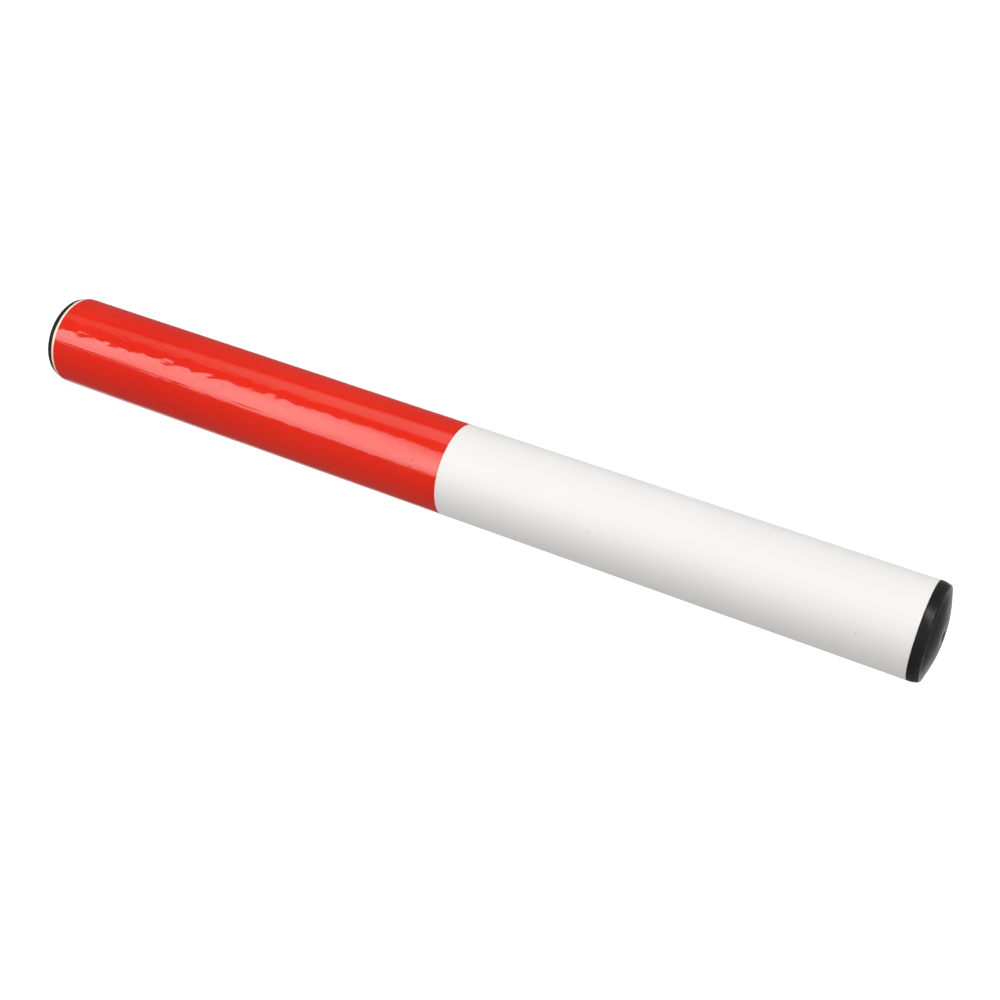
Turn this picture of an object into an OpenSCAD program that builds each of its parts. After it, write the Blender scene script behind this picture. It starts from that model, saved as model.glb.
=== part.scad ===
// Two-tone straight juggling stick: a rigid tube wrapped in a red and a white film, with a moulded
// plug pressed into each end. It lies along X with its red end at -X, on the plane Z = 0.

/* [Tube] */
// Outer diameter of the bare tube
tube_d = 50; // [40:1:60]
// Wall thickness of the tube
tube_wall = 1.8; // [1.5:0.1:2.5]
// Length of the tube between the two plug heads
tube_length = 508; // [400:1:600]

/* [Film] */
// Thickness of the wrapped film
film_t = 0.2; // [0.1:0.05:0.2]
// Width of bare tube left between the red film and its plug
bare_ring = 1.7; // [0.5:0.1:4]
// How far the line between the films lies from the tube's middle, towards the white end
boundary_shift = 0.9; // [0:0.1:5]
// Width of the strip where a film laps over its own edge
seam_width = 8; // [4:1:12]
// Place of the lapped seam, in degrees from straight down towards the back
seam_angle = 60; // [30:5:150]

/* [White half's plug head] */
// How far its rim stands out from the tube's surface
white_rim_step = 0.3; // [0.25:0.05:0.5]
// Height of its side, from the tube's end to the rounded edge
white_side_height = 4.2; // [3.5:0.1:6]

/* [Red half's plug head] */
// How far its rim stands back from the tube's surface
red_rim_inset = 0.3; // [0.1:0.05:0.5]
// Height of its side, from the tube's end to the rounded edge
red_side_height = 2.4; // [2:0.1:6]

/* [Both plug heads] */
// Straight part of a head's side, next to the tube
rim_land = 0.6; // [0.4:0.1:1]
// How much a head's side draws in over its height
side_taper = 0.7; // [0.4:0.1:1.5]
// Radius of the rounded edge between a head's side and its face
edge_r = 1.5; // [0.8:0.1:2]
// Rise of the domed face, from the rounded edge to its flat spot
dome_rise = 3.3; // [1:0.1:4]
// Diameter of the flat spot in the middle of the face
flat_d = 16; // [12:1:20]
// Thickness of the face
face_t = 2.5; // [2:0.1:3]

/* [Plug insert] */
// Length of the insert inside the tube
insert_length = 24; // [22:1:30]
// Wall thickness of the insert's hollow skirt
skirt_wall = 2; // [1.6:0.1:2.4]
// Gap between the skirt and the bore, which the ribs fill
skirt_gap = 0.9; // [0.6:0.1:1.1]
// Number of ribs round the skirt
rib_count = 5; // [4:1:5]
// Radial running clearance between the ribs and the bore
rib_clearance = 0.03; // [0.02:0.01:0.08]

/* [Hidden] */

tube_r = tube_d / 2;
bore_r = tube_r - tube_wall;
film_r = tube_r + film_t;
seam_sweep = seam_width / film_r * 180 / PI;

white_rim_r = tube_r + white_rim_step;
red_rim_r = tube_r - red_rim_inset;
flat_r = flat_d / 2;

white_head = head_height(white_side_height);
red_head = head_height(red_side_height);
red_tube_end = (red_head - white_head - tube_length) / 2;
white_tube_end = red_tube_end + tube_length;
boundary = (red_tube_end + white_tube_end) / 2 + boundary_shift;

skirt_r = bore_r - skirt_gap;
cavity_r = skirt_r - skirt_wall;
rib_r = bore_r - rib_clearance;
rib_pitch = 4.2;
rib_first = 3;
rib_root = 1.6;
rib_tip = 0.6;
lead_in = 1.5;

edge_steps = 6;
dome_steps = 6;
axis_z = white_rim_r;
$fn = 180;

// Turns what stands along Z to lie along X, on the stick's axis, starting at x
module lie_along_x(x) {
    translate([x, 0, axis_z])
        rotate([0, 90, 0])
            children();
}

// The wedge of the cross-section that the lapped seam takes up
module seam_wedge() {
    half = seam_sweep / 2;
    reach = 2 * film_r;
    rotate(seam_angle)
        polygon([
            [0, 0],
            [reach * cos(half), -reach * sin(half)],
            [reach * cos(half), reach * sin(half)]
        ]);
}

// One wrapped film with the strip where it laps over itself
module film(length) {
    linear_extrude(length)
        difference() {
            union() {
                circle(film_r);
                intersection() {
                    circle(film_r + film_t);
                    seam_wedge();
                }
            }
            circle(tube_r);
        }
}

// Heights over the tube's end of the dome's foot and of the whole head
function dome_foot(side_height) = side_height + edge_r;
function head_height(side_height) = dome_foot(side_height) + dome_rise;

// Radius at which a head's side meets its rounded edge, and at which that edge meets the dome
function shoulder_r(rim_r) = rim_r - side_taper;
function face_r(rim_r) = shoulder_r(rim_r) - edge_r;

// The rounded edge between the head's side and its face, as points of the half outline
function edge_points(rim_r, side_height) = [
    for (i = [0:edge_steps])
        let (a = 90 * i / edge_steps)
            [face_r(rim_r) + edge_r * cos(a), side_height + edge_r * sin(a)]
];

// Height of the domed face at radius r, falling away from the flat spot as a parabola
function dome_height(r, rim_r, side_height) =
    let (full_r = face_r(rim_r))
        dome_foot(side_height)
            + dome_rise * (full_r * full_r - r * r) / (full_r * full_r - flat_r * flat_r);

function dome_points(from_r, rim_r, side_height) = [
    for (i = [0:dome_steps])
        let (r = from_r + (flat_r - from_r) * i / dome_steps)
            [r, dome_height(r, rim_r, side_height)]
];

// The head as one solid: its straight land, tapered side, rounded edge, dome and flat spot
module head_solid(rim_r, side_height) {
    dome = dome_points(face_r(rim_r), rim_r, side_height);
    rotate_extrude()
        polygon(concat(
            [[0, 0], [rim_r, 0], [rim_r, rim_land]],
            edge_points(rim_r, side_height),
            [for (i = [1:dome_steps]) dome[i]],
            [[0, head_height(side_height)]]
        ));
}

// One rib round the skirt: a ring with a tapered section
module rib(z) {
    root_r = skirt_r - skirt_wall / 2;
    rotate_extrude()
        polygon([
            [root_r, z - rib_root / 2],
            [rib_r, z - rib_tip / 2],
            [rib_r, z + rib_tip / 2],
            [root_r, z + rib_root / 2]
        ]);
}

// The skirt with its lead-in, solid until the cavity is cut
module skirt_solid() {
    rotate_extrude()
        polygon([
            [0, -insert_length],
            [skirt_r - lead_in / 2, -insert_length],
            [skirt_r, lead_in - insert_length],
            [skirt_r, 0],
            [0, 0]
        ]);
}

// The space inside the skirt, up to the back of the domed face
module cavity(rim_r, side_height) {
    open_end = -insert_length - 1;
    rotate_extrude()
        polygon(concat(
            [[0, open_end], [cavity_r, open_end]],
            [for (p = dome_points(cavity_r, rim_r, side_height)) [p[0], p[1] - face_t]],
            [[0, head_height(side_height) - face_t]]
        ));
}

// The plug stands on the tube's end at Z = 0, with its head above and its insert below
module plug(rim_r, side_height) {
    difference() {
        union() {
            head_solid(rim_r, side_height);
            skirt_solid();
            for (i = [0:rib_count - 1])
                rib(-rib_first - i * rib_pitch);
        }
        cavity(rim_r, side_height);
    }
}

module core_tube() {
    color("ivory")
        lie_along_x(red_tube_end)
            linear_extrude(tube_length)
                difference() {
                    circle(tube_r);
                    circle(bore_r);
                }
}

module red_film() {
    color("red")
        lie_along_x(red_tube_end + bare_ring)
            film(boundary - red_tube_end - bare_ring);
}

module white_film() {
    color("white")
        lie_along_x(boundary)
            film(white_tube_end - boundary);
}

module white_end_plug() {
    color([0.13, 0.13, 0.13])
        lie_along_x(white_tube_end)
            plug(white_rim_r, white_side_height);
}

module red_end_plug() {
    color([0.1, 0.1, 0.1])
        mirror([1, 0, 0])
            lie_along_x(-red_tube_end)
                plug(red_rim_r, red_side_height);
}

core_tube();
red_film();
white_film();
red_end_plug();
white_end_plug();
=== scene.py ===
"""Looks of the two-tone juggling stick: a tube wrapped in two films, with a moulded plug in each end."""

import math

import bmesh
import bpy
import numpy as np
from mathutils import Matrix, Vector


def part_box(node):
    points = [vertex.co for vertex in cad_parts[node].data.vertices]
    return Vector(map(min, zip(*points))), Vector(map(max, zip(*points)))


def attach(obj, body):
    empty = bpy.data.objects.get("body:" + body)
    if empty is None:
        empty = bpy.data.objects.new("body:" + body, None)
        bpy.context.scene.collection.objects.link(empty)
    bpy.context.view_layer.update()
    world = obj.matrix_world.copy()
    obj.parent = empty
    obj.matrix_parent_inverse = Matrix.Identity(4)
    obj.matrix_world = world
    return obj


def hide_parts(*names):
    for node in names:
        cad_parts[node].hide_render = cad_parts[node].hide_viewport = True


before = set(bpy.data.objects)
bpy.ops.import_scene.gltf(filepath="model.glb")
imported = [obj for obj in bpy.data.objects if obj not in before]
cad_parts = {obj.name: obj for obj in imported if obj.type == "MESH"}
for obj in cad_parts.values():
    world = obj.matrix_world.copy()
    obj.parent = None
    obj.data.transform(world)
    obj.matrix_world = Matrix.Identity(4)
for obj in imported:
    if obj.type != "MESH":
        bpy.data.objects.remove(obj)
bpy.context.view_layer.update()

MM = 0.001
TURN = 2 * math.pi

# ---------------------------------------------------------------- places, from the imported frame
tube_low, tube_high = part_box("core_tube")
red_low, red_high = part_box("red_film")
white_low, white_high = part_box("white_film")
plug_low, plug_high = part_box("white_end_plug")

AXIS_Z = (tube_low.z + tube_high.z) / 2
TUBE_R = (tube_high.z - tube_low.z) / 2
FILM_R = (red_high.z - red_low.z) / 2
FILM_T = FILM_R - TUBE_R
RIM_R = (plug_high.z - plug_low.z) / 2
BOUNDARY = red_high.x

# ---------------------------------------------------------------- sizes that the frame doesn't give
WALL = 1.8 * MM
BORE_R = TUBE_R - WALL
SEAM_WIDTH = 8 * MM
SEAM_PLACE = math.radians(240)
SKIN = 0.004 * MM  # gap that keeps two touching surfaces apart
MARGIN = 0.012 * MM  # how far relief stays short of a CAD solid's outside or of a neighbour
ROOM = RIM_R - FILM_R - MARGIN  # how far a film may rise and stay below the plugs' rims

FILM_STEPS_ALONG = 380
FILM_STEPS_ROUND = 244
CLIMB_STEPS = 6
LAP_STEPS = 16
LATHE_STEPS = 224
FILLET_STEPS = 6


# ---------------------------------------------------------------- meshes
def on_axis(x, radius, angle):
    """A point of the stick: angle 0 is straight up, and it grows towards the front, which is -Y."""
    return np.stack(
        [x, -radius * np.sin(angle), AXIS_Z + radius * np.cos(angle)], axis=-1
    )


def ripple(x, angle, seed, along, around, count=28):
    """Smooth random relief of about unit size on a cylinder, which closes on itself round the turn.
    along is its shortest wavelength in metres, and around its largest whole number of waves in a turn."""
    draw = np.random.default_rng(seed)
    total = np.zeros(np.broadcast(x, angle).shape)
    for _ in range(count):
        wave = TURN / (along * (1 + 3 * draw.random()))
        turns = int(draw.integers(-around, around + 1))
        total += np.cos(wave * x + turns * angle + TURN * draw.random())
    return total / math.sqrt(count / 2)


def bump_at(x, angle, x0, angle0, long_r, round_r):
    """A rounded bump of height 1: long_r is its radius along the stick, and round_r round it."""
    off = (angle - angle0 + math.pi) % TURN - math.pi
    return np.exp(-(((x - x0) / long_r) ** 2) - (off * FILM_R / round_r) ** 2)


def ring_at(radius, middle, width):
    """1 at the middle radius, fading away over width."""
    return np.exp(-(((radius - middle) / width) ** 2))


def band(angle, degrees, width):
    """1 on the line along the stick at that angle, fading away over width, both in degrees."""
    off = (angle - math.radians(degrees) + math.pi) % TURN - math.pi
    return np.exp(-((off / math.radians(width)) ** 2))


def crease(x, angle, x0, degrees, length, width, lean):
    """A narrow rounded fold of height 1 through a place, leaning that many degrees off the stick's axis."""
    off = (angle - math.radians(degrees) + math.pi) % TURN - math.pi
    c, s = math.cos(math.radians(lean)), math.sin(math.radians(lean))
    along = (x - x0) * c + off * FILM_R * s
    across = off * FILM_R * c - (x - x0) * s
    return np.exp(-((along / length) ** 2) - (across / width) ** 2)


def smooth(value, low, high):
    """0 up to low and 1 from high on, with a soft step between them."""
    t = np.clip((value - low) / (high - low), 0, 1)
    return t * t * (3 - 2 * t)


def build(name, points, faces, sharp_degrees):
    """A mesh object from points and faces, smooth apart from its sharp edges."""
    mesh = bpy.data.meshes.new(name)
    mesh.from_pydata(np.asarray(points).tolist(), [], faces)
    work = bmesh.new()
    work.from_mesh(mesh)
    bmesh.ops.recalc_face_normals(work, faces=work.faces)
    limit = math.radians(sharp_degrees)
    for face in work.faces:
        face.smooth = True
    for edge in work.edges:
        edge.smooth = len(edge.link_faces) == 2 and edge.calc_face_angle(0) < limit
    work.to_mesh(mesh)
    work.free()
    thing = bpy.data.objects.new(name, mesh)
    bpy.context.scene.collection.objects.link(thing)
    return thing


def grid_faces(rows, columns, start=0, closed=False):
    """Quads of a grid of points laid out row by row; closed joins its last column to its first."""
    faces = []
    for i in range(rows - 1):
        here = start + i * columns
        there = here + columns
        for j in range(columns if closed else columns - 1):
            k = (j + 1) % columns
            faces.append((here + j, here + k, there + k, there + j))
    return faces


def lathe(name, profile, relief, sharp_degrees):
    """Turns a profile of (x, radius) points round the stick's axis, with relief on it. A profile that
    starts and ends on the axis closes there; any other joins its last point to its first."""
    profile = np.array(profile)
    poles = profile[0, 1] == 0
    rings = profile[1:-1] if poles else profile
    angle = np.arange(LATHE_STEPS) * TURN / LATHE_STEPS
    round_it = np.repeat(angle[None, :], len(rings), axis=0)
    x = np.repeat(rings[:, :1], LATHE_STEPS, axis=1)
    radius = np.repeat(rings[:, 1:], LATHE_STEPS, axis=1)
    x, radius = relief(x, radius, round_it)
    points = on_axis(x, radius, round_it).reshape(-1, 3)
    faces = grid_faces(len(rings), LATHE_STEPS, closed=True)
    last = (len(rings) - 1) * LATHE_STEPS
    first_tip = len(points)
    if poles:
        tips = [(profile[0, 0], 0, AXIS_Z), (profile[-1, 0], 0, AXIS_Z)]
        points = np.concatenate([points, tips])
    for j in range(LATHE_STEPS):
        k = (j + 1) % LATHE_STEPS
        if poles:
            faces.append((first_tip, k, j))
            faces.append((first_tip + 1, last + j, last + k))
        else:
            faces.append((last + j, last + k, k, j))
    return build(name, points, faces, sharp_degrees)


def fillet(corner, before, after, radius):
    """Points of a rounded corner of a profile, between the points before and after it."""
    corner = np.array(corner, float)
    to_before = np.array(before, float) - corner
    to_after = np.array(after, float) - corner
    to_before /= np.linalg.norm(to_before)
    to_after /= np.linalg.norm(to_after)
    half = math.acos(np.clip(to_before @ to_after, -1, 1)) / 2
    reach = radius / math.tan(half)
    bisector = to_before + to_after
    centre = corner + bisector / np.linalg.norm(bisector) * radius / math.sin(half)
    start = corner + to_before * reach - centre
    end = corner + to_after * reach - centre
    sweep = math.acos(np.clip(start @ end / radius**2, -1, 1))
    points = []
    for i in range(FILLET_STEPS + 1):
        t = i / FILLET_STEPS
        mix = (math.sin((1 - t) * sweep) * start + math.sin(t * sweep) * end) / math.sin(sweep)
        points.append(tuple(centre + mix))
    return points


def rounded(corners):
    """A profile from corners (x, radius, rounding): those with no rounding stay as they are."""
    points = []
    for i, (x, radius, rounding) in enumerate(corners):
        if rounding:
            points += fillet((x, radius), corners[i - 1][:2], corners[i + 1][:2], rounding)
        else:
            points.append((x, radius))
    return points


def spread(points, gap):
    """A profile with extra points, so that no two neighbours are further apart than gap."""
    out = [points[0]]
    for a, b in zip(points, points[1:]):
        count = max(1, math.ceil(math.dist(a, b) / gap))
        for i in range(1, count + 1):
            t = i / count
            out.append((a[0] + (b[0] - a[0]) * t, a[1] + (b[1] - a[1]) * t))
    return out


# ---------------------------------------------------------------- the films
def film_angles():
    """Angles of the film's strip, from its covered edge, once round, to the free edge that laps it."""
    half = SEAM_WIDTH / FILM_R / 2
    first = SEAM_PLACE - half
    climb = first + TURN
    last = climb + 2 * half
    steps = FILM_STEPS_ROUND - CLIMB_STEPS - LAP_STEPS
    body = crowded(first, climb - 1.6 * MM / FILM_R, steps)
    step = np.linspace(climb - 1.2 * MM / FILM_R, climb, CLIMB_STEPS)
    lap = np.linspace(climb, last, LAP_STEPS + 1)[1:]
    return np.concatenate([body, step, lap])


def crowded(first, last, count):
    """Angles from first to last, closer together where a film has its creases and its long ridges."""
    even = np.linspace(first, last, 4000)
    creased = band(even, degrees=42, width=24)
    ridged = band(even, degrees=56.6, width=2.5)
    travelled = np.cumsum(1 + 2 * creased + 4 * ridged)
    share = (travelled - travelled[0]) / (travelled[-1] - travelled[0])
    return np.interp(np.linspace(0, 1, count), share, even)


def film_lift(angle):
    """How far the film stands off the tube: its own thickness where it climbs over its other edge."""
    climb = SEAM_PLACE - SEAM_WIDTH / FILM_R / 2 + TURN
    rise = smooth(angle, climb - 1.4 * MM / FILM_R, climb)
    return rise * (FILM_T + SKIN)


def wrap(name, x_low, x_high, relief, trim):
    """A film as one closed strip, wound once round the tube and lapped over its own edge.
    relief lifts its outer skin, and trim(angle, end) is how far each cut edge falls short."""
    angle = film_angles()
    count = len(angle)
    share = np.linspace(0, 1, FILM_STEPS_ALONG + 1)[:, None]
    x_start = x_low + trim(angle, 0)
    x_end = x_high - trim(angle, 1)
    x = x_start * (1 - share) + x_end * share
    round_it = np.repeat(angle[None, :], len(share), axis=0)
    inner_r = TUBE_R + SKIN + film_lift(round_it)
    outer_r = inner_r + FILM_T - 2 * SKIN + relief(x, round_it)
    outer = on_axis(x, outer_r, round_it).reshape(-1, 3)
    inner = on_axis(x[[0, -1]], inner_r[[0, -1]], round_it[[0, -1]]).reshape(-1, 3)
    points = np.concatenate([outer, inner])
    base = len(outer)
    last_row = FILM_STEPS_ALONG * count
    faces = grid_faces(len(share), count)
    faces += grid_faces(2, count, start=base)
    for j in range(count - 1):
        faces.append((j, j + 1, base + j + 1, base + j))
        faces.append((last_row + j, last_row + j + 1, base + count + j + 1, base + count + j))
    middle = FILM_STEPS_ALONG // 2
    for column in (0, count - 1):
        near = base + column
        far = base + count + column
        for i in range(FILM_STEPS_ALONG):
            corner = near if i < middle else far
            faces.append((i * count + column, (i + 1) * count + column, corner))
        faces.append((middle * count + column, far, near))
    return build(name, points, faces, 50)


def settle(relief):
    """Keeps a relief within the room that a film has, with no flat spots where it is cut short."""
    return ROOM * np.tanh(relief / ROOM)


def edge_calm(x, x_low, x_high):
    """1 along the film, falling to 0 in the last millimetres before its cut edges."""
    return smooth(x, x_low, x_low + 3 * MM) * smooth(-x, -x_high, 3 * MM - x_high)


# Faults of the red film. All start with their place: x in mm, then degrees round the stick.
# Steps and fine creases also have a length in mm and a lean in degrees, and ridges a length in mm.
STEPS = ((-212, 38, 7, 8), (-172, 33, 8, 14), (-140, 35, 7, 10))
RIDGES = ((-214, 56.8, 32), (-205, 54.6, 12), (-166, 57.4, 7), (-120, 57.2, 9))
FINE_CREASES = (
    (-243, 27, 4, 6), (-236, 25.5, 3.5, -8), (-231, 22.5, 3, 10), (-168, 29, 5, 12),
    (-158, 26.5, 4, 4), (-149, 31, 5, 9), (-141, 26, 3.5, -6), (-66, 36, 4, 5),
)
MARKS = ((-245, 44.5), (-142.5, 47.4), (-139, 46.3), (-137, 45.3), (-128, 47.5), (-96, 43.5), (-61, 48))
BLISTERS = 46
SMALL_CREASES = 44
DENTS = 18


def red_relief(x, angle):
    """Waves, puckers, small blisters, creases and long ridges, as a hand-wrapped glossy film has them.
    It is slackest near its plug, on the side where it was drawn over last."""
    slack = smooth(-x, 20 * MM, 140 * MM)
    waves = ripple(x, angle, seed=3, along=22 * MM, around=7)
    puckers = ripple(x, angle, seed=11, along=9 * MM, around=36, count=40)
    fine = ripple(x, angle, seed=17, along=5 * MM, around=50, count=36)
    relief = 0.012 * MM * waves
    relief += 0.040 * MM * slack * band(angle, degrees=33, width=12) * puckers
    relief += 0.004 * MM * (0.5 + slack) * fine
    draw = np.random.default_rng(23)
    for _ in range(BLISTERS):
        x0 = -(8 + 240 * draw.random()) * MM
        angle0 = TURN * draw.random()
        size = (0.5 + 0.9 * draw.random()) * MM
        height = (0.02 + 0.05 * draw.random()) * MM
        relief += height * bump_at(x, angle, x0, angle0, size * (1 + draw.random()), size)
    for _ in range(SMALL_CREASES):
        x0 = -(90 + 160 * draw.random()) * MM
        degrees = 20 + 26 * draw.random()
        length = (2.5 + 6 * draw.random()) * MM
        height = (0.015 + 0.045 * draw.random()) * MM
        lean = 35 * (draw.random() - 0.3)
        relief += height * crease(x, angle, x0, degrees, length, width=0.55 * MM, lean=lean)
    for x0, degrees, length, lean in STEPS:
        relief += 0.07 * MM * crease(x, angle, x0 * MM, degrees, length * MM, width=1.5 * MM, lean=lean)
    for x0, degrees, length in RIDGES:
        relief += 0.12 * MM * crease(x, angle, x0 * MM, degrees, length * MM, width=0.3 * MM, lean=0.4)
    for x0, degrees, length, lean in FINE_CREASES:
        relief += 0.05 * MM * crease(x, angle, x0 * MM, degrees, length * MM, width=0.6 * MM, lean=lean)
    return settle(relief) * edge_calm(x, red_low.x, red_high.x)


def white_relief(x, angle):
    """Very slight waves and a few dents in the matt film."""
    relief = 0.007 * MM * ripple(x, angle, seed=31, along=26 * MM, around=6)
    relief += 0.002 * MM * ripple(x, angle, seed=32, along=7 * MM, around=30, count=36)
    draw = np.random.default_rng(37)
    for _ in range(DENTS):
        x0 = (8 + 238 * draw.random()) * MM
        angle0 = TURN * draw.random()
        size = (0.7 + 1.2 * draw.random()) * MM
        height = (draw.random() - 0.5) * 0.04 * MM
        relief += height * bump_at(x, angle, x0, angle0, size * 2, size)
    return settle(relief) * edge_calm(x, white_low.x, white_high.x)


def knife_edge(seed, low_depth, high_depth):
    """Trim of a film's two cut edges: lines cut by hand, which wander a little, each up to its depth."""

    def trim(angle, end):
        zero = np.zeros_like(angle)
        slow = ripple(zero, angle, seed + end, along=1, around=4, count=8)
        quick = ripple(zero, angle, seed + 50 + end, along=1, around=60, count=24)
        depth = high_depth if end else low_depth
        return depth * np.clip(0.5 + 0.28 * slow + 0.12 * quick, 0, 1)

    return trim


# ---------------------------------------------------------------- the tube
def make_tube():
    """The extruded tube, open at both ends, with deburred edges and faint lines from its die."""
    gap = 0.02 * MM
    burr = 0.25 * MM
    start, end = tube_low.x + gap, tube_high.x - gap
    outside = TUBE_R - MARGIN
    corners = [
        (start, BORE_R + burr), (start, outside - burr), (start + burr, outside),
        (end - burr, outside), (end, outside - burr), (end, BORE_R + burr),
        (end - burr, BORE_R), (start + burr, BORE_R),
    ]
    profile = spread(corners + corners[:1], 4 * MM)[:-1]

    def die_lines(x, radius, angle):
        lines = 0.004 * MM * ripple(0 * x, angle, seed=41, along=1, around=90, count=60)
        return x, radius + np.clip(lines, -0.01 * MM, 0.01 * MM)

    return lathe("tube", profile, die_lines, 40)


# ---------------------------------------------------------------- the plugs
TAPER = 0.7 * MM
EDGE_R = 1.5 * MM
DOME_RISE = 3.3 * MM
LAND = 0.6 * MM
FLAT_R = 8 * MM
FACE_T = 2.5 * MM
SKIRT_R = 22.3 * MM
CAVITY_R = 20.3 * MM
RIB_R = 23.17 * MM
RIB_FIRST = 3 * MM
RIB_PITCH = 4.2 * MM
RIB_COUNT = 5
RIB_ROOT = 0.62 * MM  # half the width of a rib where it meets the skirt
RIB_TIP = 0.3 * MM  # half the width of a rib at its tip
LEAD_IN = 1.5 * MM
FLASH = 0.07 * MM  # how far a head's side stands back from its rim's flash line
EDGE_STEPS = 10
SIDE_STEPS = 10

# The gate mark in the middle of a face: depth below the flat spot, then radius, in mm
GATE_MARK = (
    (0.12, 0), (0.10, 0.35), (0.16, 0.75), (0.42, 0.95), (0.45, 1.5), (0.36, 2.1), (0.08, 2.6), (0, 3.0),
)


class Plug:
    """The sizes of one plug, taken from its own box. side is the end of the tube that it is in: -1 or 1."""

    def __init__(self, node, side):
        low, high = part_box(node)
        self.side = side
        self.tube_end = tube_high.x if side > 0 else -tube_low.x
        outer, inner = (high.x, low.x) if side > 0 else (-low.x, -high.x)
        self.head = outer - self.tube_end
        self.insert = self.tube_end - inner
        self.rim_r = (high.z - low.z) / 2
        self.shoulder_r = self.rim_r - TAPER
        self.face_r = self.shoulder_r - EDGE_R
        self.dome_foot = self.head - DOME_RISE
        self.side_height = self.dome_foot - EDGE_R

    def dome(self, radius):
        """Height of the domed face over the tube's end."""
        fall = (self.face_r**2 - max(radius, FLAT_R) ** 2) / (self.face_r**2 - FLAT_R**2)
        return self.dome_foot + DOME_RISE * fall


def face_profile(plug):
    """The face, from its middle out: gate mark in a dimple, flat spot, dome, rounded edge, side, rim."""
    points = [(plug.head - depth * MM, radius * MM) for depth, radius in GATE_MARK]
    for radius in np.arange(4 * MM, plug.face_r - 0.2 * MM, 0.6 * MM):
        points.append((plug.dome(radius), radius))
    for i in range(EDGE_STEPS + 1):
        a = math.radians(90 * i / EDGE_STEPS)
        points.append((plug.side_height + EDGE_R * math.cos(a), plug.face_r + EDGE_R * math.sin(a)))
    side = plug.rim_r - FLASH
    for share in np.linspace(0.9, 0, SIDE_STEPS):
        height = LAND + (plug.side_height - LAND) * share
        points.append((height, side - (side - plug.shoulder_r) * share**2))
    flash = plug.rim_r - MARGIN
    under = side + 0.01 * MM
    points += [(LAND - 0.05 * MM, flash), (LAND - 0.15 * MM, flash), (LAND - 0.2 * MM, under)]
    points += [(0.12 * MM, under), (0.03 * MM, side - 0.04 * MM), (0, side - 0.14 * MM)]
    return points


def insert_profile(plug):
    """The insert, from under the rim down the ribbed skirt and up the hollow to its roof."""
    corners = [(0, SKIRT_R, 0.25 * MM)]
    for i in range(RIB_COUNT):
        middle = -RIB_FIRST - i * RIB_PITCH
        corners += [
            (middle + RIB_ROOT, SKIRT_R, 0.12 * MM), (middle + RIB_TIP, RIB_R, 0.14 * MM),
            (middle - RIB_TIP, RIB_R, 0.14 * MM), (middle - RIB_ROOT, SKIRT_R, 0.12 * MM),
        ]
    corners += [
        (LEAD_IN - plug.insert, SKIRT_R, 0.4 * MM), (-plug.insert, SKIRT_R - LEAD_IN / 2, 0.2 * MM),
        (-plug.insert, CAVITY_R, 0.3 * MM), (plug.dome(CAVITY_R) - FACE_T, CAVITY_R, 1.2 * MM),
        (plug.dome(FLAT_R) - FACE_T, FLAT_R, 0),
    ]
    start = (0, plug.rim_r - 0.5 * MM, 0)
    points = rounded([start] + corners)[1:]
    body = spread([start[:2]] + points[:-1], 1.6 * MM)
    roof = [(plug.dome(r) - FACE_T, r) for r in np.arange(18.5, 0.4, -0.75) * MM]
    return body + roof + [(plug.dome(0) - FACE_T, 0)]


def make_plug(name, plug, seed):
    """One moulded plug, with the small faults of a moulding."""
    profile = face_profile(plug) + insert_profile(plug)
    profile = [(plug.side * (plug.tube_end + height), radius) for height, radius in profile]

    def moulded(x, radius, angle):
        """A sunk ring and a slight warp in the face, dents in the side, and ribs with worn tips."""
        height = plug.side * x - plug.tube_end
        head = smooth(height, 0.2 * MM, 1.2 * MM)
        face = smooth(height, plug.dome_foot - 0.6 * MM, plug.dome_foot + 0.3 * MM)
        warp = ripple(radius * 6, angle, seed, along=60 * MM, around=3, count=16)
        sink = ring_at(radius, middle=21.2 * MM, width=1.6 * MM)
        x = x - plug.side * face * (0.05 * MM * sink + 0.02 * MM * (1 + np.clip(warp, -1, 1)))
        dents = 0.012 * MM * ripple(x, angle, seed + 1, along=4 * MM, around=26, count=30)
        radius = radius - head * (1 - face) * np.clip(dents + 0.015 * MM, 0, 0.05 * MM)
        worn = ripple(0 * x, angle, seed + 2, along=1, around=40, count=30)
        tips = smooth(radius, RIB_R - 0.1 * MM, RIB_R) * (height < 0)
        return x, radius - tips * 0.03 * MM * np.clip(worn, 0, 1)

    return lathe(name, profile, moulded, 30)


# ---------------------------------------------------------------- materials
SPOT_CORE = 0.4  # share of a spot's radius that is at full strength


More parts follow.
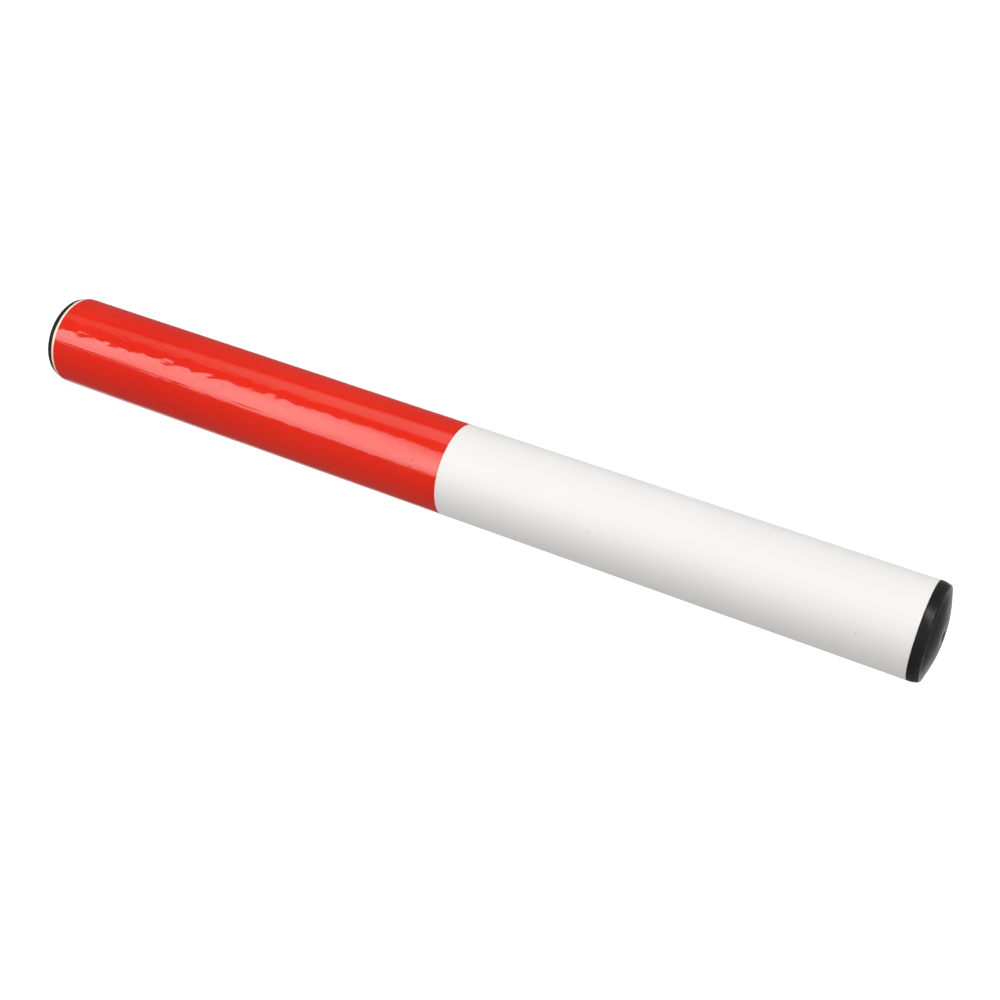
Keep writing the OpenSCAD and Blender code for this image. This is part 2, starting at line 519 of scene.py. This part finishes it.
class Surface:
    """A node material with one Principled shader, and short ways to add nodes to it."""

    def __init__(self, name, **inputs):
        self.material = bpy.data.materials.new(name)
        self.material.use_nodes = True
        self.tree = self.material.node_tree
        self.shader = self.tree.nodes["Principled BSDF"]
        for key, value in inputs.items():
            self.shader.inputs[key.replace("_", " ")].default_value = value
        self.place = self.add("ShaderNodeTexCoord").outputs["Object"]

    def feed(self, socket, value):
        """Links another node's output to a socket, or sets the socket to a number or colour."""
        if isinstance(value, bpy.types.NodeSocket):
            self.tree.links.new(value, socket)
        else:
            socket.default_value = value

    def add(self, kind, inputs=(), **settings):
        """Adds a node. inputs maps its sockets to numbers, colours or other nodes' outputs."""
        node = self.tree.nodes.new(kind)
        for key, value in settings.items():
            setattr(node, key, value)
        for key, value in dict(inputs).items():
            self.feed(node.inputs[key], value)
        return node

    def drive(self, socket, value):
        """Feeds one of the shader's own sockets."""
        self.feed(self.shader.inputs[socket], value)

    def stretched(self, along, across):
        """Object coordinates scaled per metre: along for X, across for Y and Z."""
        node = self.add("ShaderNodeMapping", {"Vector": self.place, "Scale": (along, across, across)})
        return node.outputs["Vector"]

    def noise(self, along, across=None, detail=3.0, rough=0.55, distort=0.0):
        """Noise of that many waves per metre along the stick and across it."""
        vector = self.stretched(along, along if across is None else across)
        inputs = {"Vector": vector, "Scale": 1.0, "Detail": detail, "Roughness": rough, "Distortion": distort}
        return self.add("ShaderNodeTexNoise", inputs).outputs["Fac"]

    def ramp(self, value, low, high, out_low=0.0, out_high=1.0):
        """Maps low..high of value to out_low..out_high, smoothly and with the ends held."""
        inputs = {"Value": value, "From Min": low, "From Max": high, "To Min": out_low, "To Max": out_high}
        return self.add("ShaderNodeMapRange", inputs, interpolation_type="SMOOTHSTEP").outputs["Result"]

    def maths(self, operation, a, b=0.0):
        """The result of one operation on a and b."""
        return self.add("ShaderNodeMath", {0: a, 1: b}, operation=operation).outputs["Value"]

    def plus(self, total, mask, amount):
        """total, with amount more where mask is 1."""
        return self.maths("ADD", total, self.maths("MULTIPLY", mask, amount))

    def mix(self, amount, a, b):
        """The colour a, turning into b as amount goes from 0 to 1."""
        node = self.add("ShaderNodeMix", {"Factor": amount}, data_type="RGBA")
        colour_a, colour_b = [socket for socket in node.inputs if socket.type == "RGBA"]
        self.feed(colour_a, a)
        self.feed(colour_b, b)
        return [socket for socket in node.outputs if socket.type == "RGBA"][0]

    def tinted(self, colour, *tints):
        """The colour with tints over it, each a mask, its strength and the tint's own colour."""
        for mask, strength, tint in tints:
            colour = self.mix(self.maths("MULTIPLY", mask, strength), colour, tint)
        return colour

    def specks(self, per_metre, size, share):
        """Sparse round specks: cells per metre, a speck's size in cells, and the share of cells with one."""
        vector = self.stretched(per_metre, per_metre)
        cells = self.add("ShaderNodeTexVoronoi", {"Vector": vector, "Scale": 1.0, "Randomness": 1.0})
        dot = self.ramp(cells.outputs["Distance"], SPOT_CORE * size, size, 1.0, 0.0)
        pick = self.add("ShaderNodeSeparateColor", {"Color": cells.outputs["Color"]}).outputs["Red"]
        return self.maths("MULTIPLY", dot, self.maths("LESS_THAN", pick, share))

    def spot(self, x, degrees, radius):
        """A round spot on the film, from its x in mm, its angle in degrees and its radius in metres."""
        centre = tuple(on_axis(x * MM, FILM_R, math.radians(degrees)))
        inputs = {0: self.place, 1: centre}
        away = self.add("ShaderNodeVectorMath", inputs, operation="DISTANCE").outputs["Value"]
        return self.ramp(away, SPOT_CORE * radius, radius, 1.0, 0.0)

    def relief(self, *layers):
        """Chains bump nodes: each layer is a height output and its full height in metres."""
        normal = None
        for height, metres in layers:
            inputs = {"Height": height, "Distance": metres, "Strength": 1.0}
            if normal:
                inputs["Normal"] = normal
            normal = self.add("ShaderNodeBump", inputs).outputs["Normal"]
        self.drive("Normal", normal)


def red_film_material():
    """Glossy self-adhesive film: a deep red with drawn streaks, smudges, dust, dark marks and scratches."""
    film = Surface("red_film", IOR=1.64)
    cloud = film.noise(14, detail=2.0)
    dust = film.specks(per_metre=380, size=0.22, share=0.07)
    flecks = film.specks(per_metre=95, size=0.06, share=0.07)
    for x, degrees in MARKS:
        flecks = film.maths("MAXIMUM", flecks, film.spot(x, degrees, 0.85 * MM))
    smudge = film.ramp(film.noise(650, 1300, detail=3.0, rough=0.6), 0.57, 0.68)
    smudge = film.maths("MULTIPLY", smudge, film.ramp(film.noise(35, 70), 0.35, 0.6, 0.25, 1.0))
    along = film.add("ShaderNodeSeparateXYZ", {"Vector": film.place}).outputs["X"]
    handled = film.ramp(along, BOUNDARY - 70 * MM, BOUNDARY - 12 * MM)
    scratch = film.ramp(film.noise(500, 140, detail=4.0, rough=0.65, distort=0.8), 0.6, 0.72)
    scratch = film.maths("MULTIPLY", scratch, film.plus(0.12, handled, 0.5))
    colour = film.mix(film.ramp(cloud, 0.3, 0.7), (0.79, 0.021, 0.006, 1), (0.75, 0.015, 0.004, 1))
    colour = film.tinted(
        colour,
        (smudge, 0.25, (0.42, 0.03, 0.02, 1)),
        (dust, 0.6, (0.36, 0.03, 0.03, 1)),
        (scratch, 0.7, (0.42, 0.03, 0.03, 1)),
        (flecks, 0.7, (0.28, 0.015, 0.01, 1)),
    )
    film.drive("Base Color", colour)
    streaks = film.ramp(film.noise(14, 800, detail=4.0), 0.48, 0.7)
    haze = film.ramp(film.noise(45, 110, detail=4.0, rough=0.65), 0.42, 0.72)
    rough = film.maths("MULTIPLY", streaks, 0.05)
    for mask, amount in ((haze, 0.07), (dust, 0.3), (smudge, 0.14), (scratch, 0.35)):
        rough = film.plus(rough, mask, amount)
    film.drive("Roughness", film.maths("ADD", rough, 0.07))
    film.relief(
        (film.noise(150, 260, detail=2.0), 0.02 * MM),
        (film.noise(60, 900), 0.008 * MM),
        (dust, 0.05 * MM),
    )
    return film.material


def white_film_material():
    """Matt self-adhesive film: a warm white with fine grain, faint grey scuffs and a few specks."""
    film = Surface("white_film", IOR=1.45)
    cloud = film.noise(11)
    scuff = film.ramp(film.noise(45, 520, detail=5.0, rough=0.6), 0.66, 0.82)
    specks = film.specks(per_metre=150, size=0.085, share=0.06)
    colour = film.mix(film.ramp(cloud, 0.3, 0.7), (0.845, 0.842, 0.84, 1), (0.825, 0.821, 0.818, 1))
    colour = film.tinted(
        colour,
        (scuff, 0.35, (0.62, 0.60, 0.58, 1)),
        (specks, 0.6, (0.25, 0.24, 0.23, 1)),
    )
    film.drive("Base Color", colour)
    grain = film.noise(2600, detail=2.0)
    film.drive("Roughness", film.plus(film.plus(0.5, grain, 0.12), scuff, -0.12))
    film.relief((film.noise(170, 240, detail=2.0), 0.012 * MM), (grain, 0.006 * MM), (scuff, 0.004 * MM))
    return film.material


def tube_material():
    """Bare extruded tube: cream, with long streaks and fine lines from the die."""
    tube = Surface("cream_tube", IOR=1.53)
    streak = tube.noise(5, 420, detail=4.0)
    cloud = tube.noise(30)
    colour = tube.mix(tube.ramp(streak, 0.35, 0.7), (0.93, 0.83, 0.69, 1), (0.88, 0.76, 0.60, 1))
    colour = tube.mix(tube.ramp(cloud, 0.5, 0.8, 0.0, 0.3), colour, (0.80, 0.70, 0.56, 1))
    tube.drive("Base Color", colour)
    tube.drive("Roughness", tube.ramp(streak, 0.3, 0.7, 0.32, 0.46))
    tube.relief((tube.noise(8, 1500), 0.01 * MM), (tube.noise(900), 0.004 * MM))
    return tube.material


def plug_material(name, plug):
    """Black moulded plastic: spark-eroded grain, worn and greyed at the rounded edge, with light scuffs."""
    black = Surface(name, IOR=1.5)
    along = black.add("ShaderNodeSeparateXYZ", {"Vector": black.place}).outputs["X"]
    edge_at = plug.tube_end + plug.side_height + 0.5 * EDGE_R
    from_edge = black.maths("SUBTRACT", black.maths("ABSOLUTE", along), edge_at)
    near_edge = black.ramp(black.maths("ABSOLUTE", from_edge), 0.4 * MM, 1.5 * MM, 1.0, 0.0)
    rub = black.ramp(black.noise(260, detail=5.0, rough=0.65), 0.42, 0.7)
    wear = black.maths("MULTIPLY", near_edge, rub)
    scratch = black.ramp(black.noise(700, 90, detail=4.0, rough=0.6, distort=0.6), 0.62, 0.78)
    grain = black.noise(3800)
    cloud = black.ramp(black.noise(70), 0.3, 0.75)
    colour = black.mix(cloud, (0.009, 0.009, 0.0095, 1), (0.014, 0.014, 0.015, 1))
    colour = black.tinted(
        colour,
        (wear, 0.3, (0.08, 0.08, 0.08, 1)),
        (scratch, 0.12, (0.10, 0.10, 0.10, 1)),
    )
    black.drive("Base Color", colour)
    rough = 0.24
    for mask, amount in ((grain, 0.10), (cloud, 0.06), (wear, -0.06)):
        rough = black.plus(rough, mask, amount)
    black.drive("Roughness", rough)
    black.relief((black.noise(420), 0.02 * MM), (grain, 0.006 * MM), (scratch, 0.004 * MM))
    return black.material


def stage_material():
    """Plain pale studio surface with a trace of paper tooth."""
    paper = Surface("pale_floor", Roughness=0.9, Emission_Color=(1, 1, 1, 1), Emission_Strength=0.92)
    tooth = paper.noise(900, detail=2.0)
    colour = paper.mix(paper.ramp(paper.noise(2.5), 0.3, 0.7), (0.46, 0.46, 0.46, 1), (0.45, 0.45, 0.45, 1))
    paper.drive("Base Color", colour)
    paper.relief((tooth, 0.02 * MM))
    return paper.material


# ---------------------------------------------------------------- floor, light and camera
WHITE = (1.0, 0.995, 0.985)
WARM = (1.0, 0.985, 0.94)
AMBER = (1.0, 0.94, 0.82)


def make_stage():
    """A pale floor that curves up into a wall all round. It throws no light or reflection on the object."""
    flat, bend, wall = 2.6, 1.4, 4.0
    bend_steps, sides = 12, 96
    floor_z = -0.3 * MM
    rows = [(0.4, floor_z), (1.2, floor_z), (flat, floor_z)]
    for i in range(1, bend_steps + 1):
        a = math.radians(90 * i / bend_steps)
        rows.append((flat + bend * math.sin(a), bend - bend * math.cos(a)))
    rows.append((flat + bend, wall))
    points = []
    for radius, z in rows:
        for j in range(sides):
            a = TURN * j / sides
            points.append((radius * math.cos(a), radius * math.sin(a), z))
    faces = grid_faces(len(rows), sides, closed=True)
    faces.append(tuple(range(sides)))
    stage = build("floor", points, faces, 60)
    stage.data.materials.append(stage_material())
    stage.visible_glossy = False
    stage.visible_diffuse = False
    stage.visible_shadow = False


def facing(centre, normal, roll):
    """A place and turn whose local Z is normal and whose local X is level before the roll in degrees."""
    normal = Vector(normal).normalized()
    side = Vector((0, 0, 1)).cross(normal).normalized()
    up = normal.cross(side)
    c, s = math.cos(math.radians(roll)), math.sin(math.radians(roll))
    turn = Matrix((c * side + s * up, c * up - s * side, normal)).transposed()
    return Matrix.Translation(Vector(centre)) @ turn.to_4x4()


def softbox(name, matrix, length, narrow, wide, radiance, colour, glow):
    """A lit panel: length along its local X, and half widths narrow and wide at its two ends.
    glow(u, v) is its brightness for u from 0 to 1 along it and v from -1 to 1 across it."""
    rows, columns = 41, 65
    points, levels = [], []
    for i in range(rows):
        u = i / (rows - 1)
        half = narrow + (wide - narrow) * u
        for j in range(columns):
            v = 2 * j / (columns - 1) - 1
            points.append(((u - 0.5) * length, v * half, 0))
            levels.append(glow(u, v))
    panel = build(name, points, grid_faces(rows, columns), 28)
    attribute = panel.data.attributes.new("glow", "FLOAT", "POINT")
    attribute.data.foreach_set("value", levels)
    material = bpy.data.materials.new(name)
    material.use_nodes = True
    tree = material.node_tree
    tree.nodes.clear()
    level = tree.nodes.new("ShaderNodeAttribute")
    level.attribute_name = "glow"
    power = tree.nodes.new("ShaderNodeMath")
    power.operation = "MULTIPLY"
    power.inputs[1].default_value = radiance
    shine = tree.nodes.new("ShaderNodeEmission")
    shine.inputs["Color"].default_value = (*colour, 1)
    output = tree.nodes.new("ShaderNodeOutputMaterial")
    tree.links.new(level.outputs["Fac"], power.inputs[0])
    tree.links.new(power.outputs["Value"], shine.inputs["Strength"])
    tree.links.new(shine.outputs["Emission"], output.inputs["Surface"])
    panel.data.materials.append(material)
    panel.matrix_world = matrix
    panel.visible_camera = False
    panel.visible_shadow = False


def fill_light(name, centre, normal, size, radiance):
    """A large soft white light that gloss doesn't show."""
    light = bpy.data.lights.new(name, "AREA")
    light.shape = "SQUARE"
    light.size = size
    light.energy = radiance * math.pi * size * size
    light.color = WHITE
    lamp = bpy.data.objects.new(name, light)
    lamp.matrix_world = facing(centre, normal, roll=0)
    lamp.visible_glossy = False
    lamp.visible_camera = False
    bpy.context.scene.collection.objects.link(lamp)


def front_glow(u, v):
    """Falls off towards the sides, and the softbox's cloth is a little uneven."""
    cloth = math.sin(11 * v + 4 * u) * math.sin(6 * v - 13 * u)
    folds = math.sin(27 * v + 8 * u + 2 * math.sin(9 * u))
    return (1 - 0.5 * (v + 0.08) ** 2) * (0.98 + 0.15 * cloth + 0.09 * folds)


def top_glow(u, v):
    """Brighter along the panel, with one soft side and one crisp one."""
    return (0.25 + 0.75 * u) * smooth(-v, -1.0, -0.3) * smooth(v, -1.0, -0.9)


def end_glow(u, v):
    """Fades to half along the panel."""
    return 1 - 0.5 * u


def even_glow(u, v):
    """The same all over."""
    return 1


def make_lights():
    """Softboxes that make the highlights, fill lights that gloss doesn't show, and a dim room."""
    softbox(
        "front_softbox", facing((-0.563, -0.787, 0.669), (-0.50, -0.66, 0.55), roll=-16.3),
        length=0.82, narrow=0.455, wide=0.455, radiance=3.6, colour=WARM, glow=front_glow,
    )
    softbox(
        "top_softbox", facing((-0.684, 0.244, 1.059), (-0.45, 0.2, 0.87), roll=146),
        length=0.87, narrow=0.15, wide=0.46, radiance=1.5, colour=AMBER, glow=top_glow,
    )
    softbox(
        "end_softbox", facing((0.44, -0.18, 1.05), (0.15, -0.18, 1.0), roll=-48),
        length=0.76, narrow=0.08, wide=0.22, radiance=4.5, colour=WHITE, glow=end_glow,
    )
    softbox(
        "behind_softbox", facing((-0.25, 0.55, -0.48), (-0.2, 0.73, -0.67), roll=0),
        length=1.7, narrow=0.35, wide=0.35, radiance=0.8, colour=WHITE, glow=even_glow,
    )
    fill_light("right_fill", (2.6, -1.5, 2.5), (1, -0.57, 0.95), size=4.0, radiance=2.6)
    fill_light("back_fill", (0, 3.8, 1.0), (0, 1, 0.26), size=3.0, radiance=2.9)
    fill_light("table_fill", (0, 0, -3.0), (0.001, 0, -1), size=4.0, radiance=1.6)
    world = bpy.data.worlds.new("room")
    world.use_nodes = True
    background = world.node_tree.nodes["Background"]
    background.inputs["Color"].default_value = (*WHITE, 1)
    background.inputs["Strength"].default_value = 0.15
    bpy.context.scene.world = world


def make_camera():
    """Looks down along the stick from its front, near its white end."""
    mark = Vector((BOUNDARY, 0, AXIS_Z))
    data = bpy.data.cameras.new("camera")
    data.lens = 59.3
    data.sensor_width = 36
    data.clip_start = 0.05
    camera = bpy.data.objects.new("camera", data)
    camera.location = mark + Vector((0.3460, -0.5873, 0.5412))
    target = mark + Vector((0.0242, 0.0017, -0.0122))
    camera.rotation_euler = (target - camera.location).to_track_quat("-Z", "Y").to_euler()
    bpy.context.scene.collection.objects.link(camera)
    bpy.context.scene.camera = camera
    bpy.context.scene.view_settings.view_transform = "Standard"


# ---------------------------------------------------------------- the object
def dress(piece, material, body, node):
    """Gives a piece its material, tells the frame what it rides on, and hides the CAD solid that it stands in
    for.
    """
    piece.data.materials.append(material)
    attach(piece, body)
    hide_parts(node)


def make_object():
    """The tube, the two films and the two plugs, each in place of its CAD solid."""
    dress(make_tube(), tube_material(), "wrapped_tube", "core_tube")
    red_trim = knife_edge(seed=5, low_depth=0.2 * MM, high_depth=0.1 * MM)
    red = wrap("red_wrap", red_low.x, red_high.x, red_relief, red_trim)
    dress(red, red_film_material(), "wrapped_tube", "red_film")
    white_trim = knife_edge(seed=7, low_depth=0.1 * MM, high_depth=0.3 * MM)
    white = wrap("white_wrap", white_low.x, white_high.x, white_relief, white_trim)
    dress(white, white_film_material(), "wrapped_tube", "white_film")
    for half, side, seed in (("red", -1, 61), ("white", 1, 71)):
        node = half + "_end_plug"
        plug = Plug(node, side)
        piece = make_plug(half + "_plug", plug, seed)
        dress(piece, plug_material("black_plug_" + half, plug), half + "_plug", node)


make_stage()
make_lights()
make_camera()
make_object()
